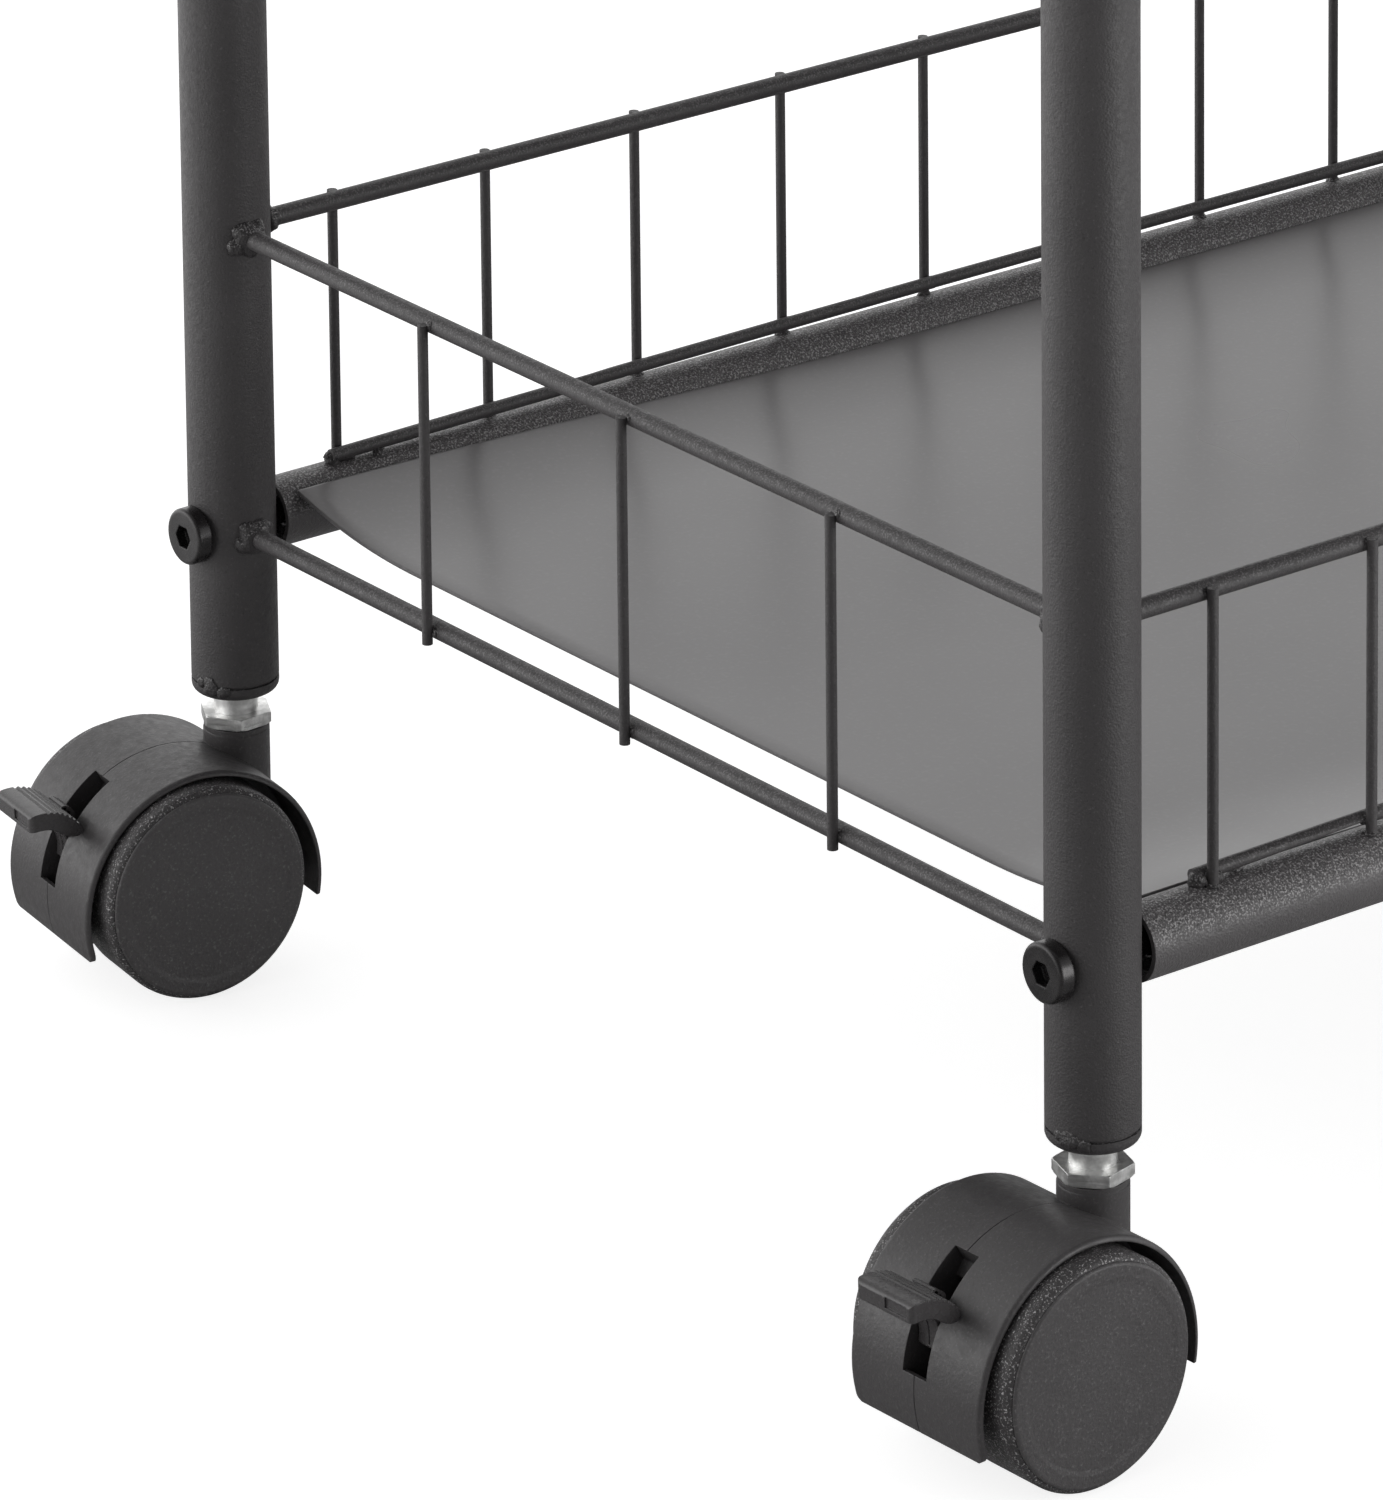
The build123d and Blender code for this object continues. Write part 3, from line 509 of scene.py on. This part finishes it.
# Shelf sheets: thin, edges climbing on to the tubes more at the corners
SHEET_HALF_X = HALF_X - 0.014
SHEET_T = 0.001
SHEET_FLAT_Z = 0.0006  # top of the flat middle above the tube axes
SEAT_R = TUBE_R + 0.00012  # the sheet's edge rests just clear of the tube
EDGE_Z, CORNER_CLIMB = 0.0022, 0.0033  # underside at mid edge, and the rise to a corner
CORNER_RUN = 0.19  # length over which the edge climbs to a corner
CURL_RUN, CORNER_CURL = 0.0300, 0.016  # width of the curled border, and more at a corner
STEPS_X, STEPS_Y = 110, 36  # Y steps are for each half


def smooth01(t):
    t = max(0.0, min(1.0, t))
    return t * t * (3 - 2 * t)


def sheet_top(x, share, side):
    """Y and height of the top; share runs 0 at the centre line to 1 at the long edge."""
    corner = smooth01((abs(x) - (SHEET_HALF_X - CORNER_RUN)) / CORNER_RUN)
    under_z = EDGE_Z + CORNER_CLIMB * corner
    edge_y = HALF_Y - math.sqrt(SEAT_R ** 2 - under_z ** 2)
    run = CURL_RUN + CORNER_CURL * corner
    y = edge_y * share
    curl = max(0.0, (y - (edge_y - run)) / run)
    height = SHEET_FLAT_Z + (under_z + SHEET_T - SHEET_FLAT_Z) * curl ** 2.2
    wobble = noise.noise(Vector((x * 9, side * y * 9, 3.1))) * 0.00012 * (1 - curl)
    return side * y, height + wobble


def rim_quad(bm, corners, flip):
    bm.faces.new(corners[::-1] if flip else corners)


def shelf_sheet(tier, z):
    bm = bmesh.new()
    # stations across the sheet, closer together towards the long edges
    shares = [1 - (1 - j / STEPS_Y) ** 1.5 for j in range(STEPS_Y + 1)]
    stations = [(-1, share) for share in shares[:0:-1]] + [(1, share) for share in shares]
    top, low = [], []
    for i in range(STEPS_X + 1):
        x = -SHEET_HALF_X + 2 * SHEET_HALF_X * i / STEPS_X
        top.append([])
        low.append([])
        for side, share in stations:
            y, height = sheet_top(x, share, side)
            top[i].append(bm.verts.new((x, y, z + height)))
            low[i].append(bm.verts.new((x, y, z + height - SHEET_T)))
    last = len(stations) - 1
    for i in range(STEPS_X):
        for j in range(last):
            bm.faces.new((top[i][j], top[i + 1][j], top[i + 1][j + 1], top[i][j + 1]))
            bm.faces.new((low[i][j], low[i][j + 1], low[i + 1][j + 1], low[i + 1][j]))
        for j, flip in ((0, False), (last, True)):
            rim_quad(bm, (top[i][j], low[i][j], low[i + 1][j], top[i + 1][j]), flip)
    for j in range(last):
        for i, flip in ((0, True), (STEPS_X, False)):
            rim_quad(bm, (top[i][j], low[i][j], low[i][j + 1], top[i][j + 1]), flip)
    bmesh.ops.recalc_face_normals(bm, faces=bm.faces)

    sheet = frame_piece(f"{tier}_shelf_sheet", bm, "panel_paint")
    bevel = sheet.modifiers.new("edge", "BEVEL")
    bevel.width = 0.0002
    bevel.segments = 2
    bevel.limit_method = "ANGLE"
    bevel.angle_limit = math.radians(50)
    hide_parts(f"{tier}_panel")


for tier, z in TIERS.items():
    shelf_sheet(tier, z)


# ---------------------------------------------------------------------------
# floor, light and camera
# ---------------------------------------------------------------------------
def floor_paint():
    """Pale floor: to the camera a nearly shadowless sweep, to other rays a floor with painted
    pools of light and painted shade.
    """
    paint = Material("floor_paint")
    blotches = paint.ramp(paint.noise(scale=3, detail=3))
    tone = paint.mix(blotches, (0.60, 0.60, 0.60), (0.63, 0.63, 0.63))
    paint.surface(Base_Color=tone, Roughness=0.9, Specular_IOR_Level=0.1)
    glow = paint.node("Emission", {"Color": (1, 1, 1), "Strength": 0.80})
    seen = paint.node("AddShader", {0: paint.bsdf.outputs[0], 1: glow.outputs[0]})

    # painted pools of light to the left and right of the view, and painted shade on the camera
    # side
    across = paint.along(VIEW_RIGHT)
    right_pool = paint.ramp(across, span=(0.04, 0.60), to=(0.0, 0.62))
    left_pool = paint.ramp(across, span=(-0.40, -0.78), to=(0.0, 1.10))
    dim = paint.ramp(paint.along(VIEW_FORWARD), span=(-0.22, -0.55), to=(1.0, 0.40))
    lamp = paint.node("Emission", {
        "Strength": paint.math("ADD", right_pool, left_pool),
        "Color": paint.mix(dim, (0.45, 0.45, 0.45), (1.0, 1.0, 1.0))})
    dull = paint.node("BsdfDiffuse", {
        "Color": paint.mix(dim, (0.30, 0.30, 0.30), (0.60, 0.60, 0.60))})
    indirect = paint.node("AddShader", {0: dull.outputs[0], 1: lamp.outputs[0]})

    to_camera = paint.node("LightPath").outputs["Is Camera Ray"]
    pick = paint.node("MixShader", {0: to_camera, 1: indirect.outputs[0], 2: seen.outputs[0]})
    paint.feed(paint.out.inputs[0], pick.outputs[0])
    return paint.data


def build_floor():
    bm = bmesh.new()
    bmesh.ops.create_grid(bm, x_segments=8, y_segments=8, size=12)
    to_object("floor", bm, floor_paint())


def build_world():
    """Soft light from the left and right of the view and a bright backdrop behind the cart."""
    world = bpy.data.worlds.new("studio")
    scene.world = world
    world.use_nodes = True
    sky = Graph(world.node_tree, "Generated")

    def lobe(value, power, strength):
        narrowed = sky.math("POWER", sky.math("MAXIMUM", value, 0.0), power)
        return sky.math("MULTIPLY", narrowed, strength)

    across = sky.along(VIEW_RIGHT)
    left = lobe(sky.math("MULTIPLY", across, -1.0), power=4.0, strength=2.7)
    right = lobe(across, power=8.0, strength=1.95)
    behind = sky.ramp(sky.along(VIEW_FORWARD), span=(0.25, 0.85))
    ambient = 0.16
    backdrop = sky.math("ADD", sky.math("MULTIPLY", behind, 1.05), ambient)
    background = world.node_tree.nodes["Background"]
    sky.feed(background.inputs["Color"], (1.0, 1.0, 1.0))
    sky.feed(background.inputs["Strength"],
             sky.math("ADD", sky.math("ADD", left, right), backdrop))


def area_light(name, place, target, size, power):
    """A square area light aimed at target."""
    data = bpy.data.lights.new(name, "AREA")
    data.shape = "RECTANGLE"
    data.size = size
    data.size_y = size
    data.energy = power
    light = bpy.data.objects.new(name, data)
    light.location = place
    aim = Vector(target) - Vector(place)
    light.rotation_euler = aim.to_track_quat("-Z", "Y").to_euler()
    scene.collection.objects.link(light)


def build_camera():
    """An oblique view: its up axis leans back from the view plane by half the downward
    tilt, which keeps the legs nearly parallel."""
    lean = 0.5 * VIEW_TILT
    up = Vector((0, 0, 1))
    level_y = VIEW_FORWARD * math.sin(lean) + up * math.cos(lean)
    axis_x = VIEW_RIGHT * math.cos(VIEW_ROLL) + level_y * math.sin(VIEW_ROLL)
    axis_y = -VIEW_RIGHT * math.sin(VIEW_ROLL) + level_y * math.cos(VIEW_ROLL)
    axis_z = -(VIEW_FORWARD * math.cos(VIEW_TILT) - up * math.sin(VIEW_TILT))
    place = Vector((-HALF_X - 1.21278, -HALF_Y - 1.46543, 0.93733))
    columns = (axis_x, axis_y, axis_z, place)
    oblique = Matrix((*zip(*columns), (0, 0, 0, 1)))

    data = bpy.data.cameras.new("camera")
    data.sensor_width = 36.0
    data.lens = 244.11768
    data.clip_start = 0.05
    data.clip_end = 60
    camera = bpy.data.objects.new("camera", data)
    rig = bpy.data.objects.new("camera_rig", None)
    scene.collection.objects.link(rig)
    scene.collection.objects.link(camera)
    # a sheared matrix only survives as the parent inverse
    camera.parent = rig
    camera.matrix_parent_inverse = oblique
    scene.camera = camera


build_floor()
build_world()
area_light("front_right", place=(-0.02, -0.62, 0.16), target=(-0.24, -0.17, 0.03),
           size=0.25, power=0.72)
area_light("top", place=(0.0, 0.0, 2.6), target=(0, 0, 0), size=2.0, power=3)
scene.view_settings.view_transform = "Standard"
scene.view_settings.look = "None"
scene.view_settings.exposure = 0.0
scene.view_settings.gamma = 1.0
build_camera()
bpy.context.view_layer.update()
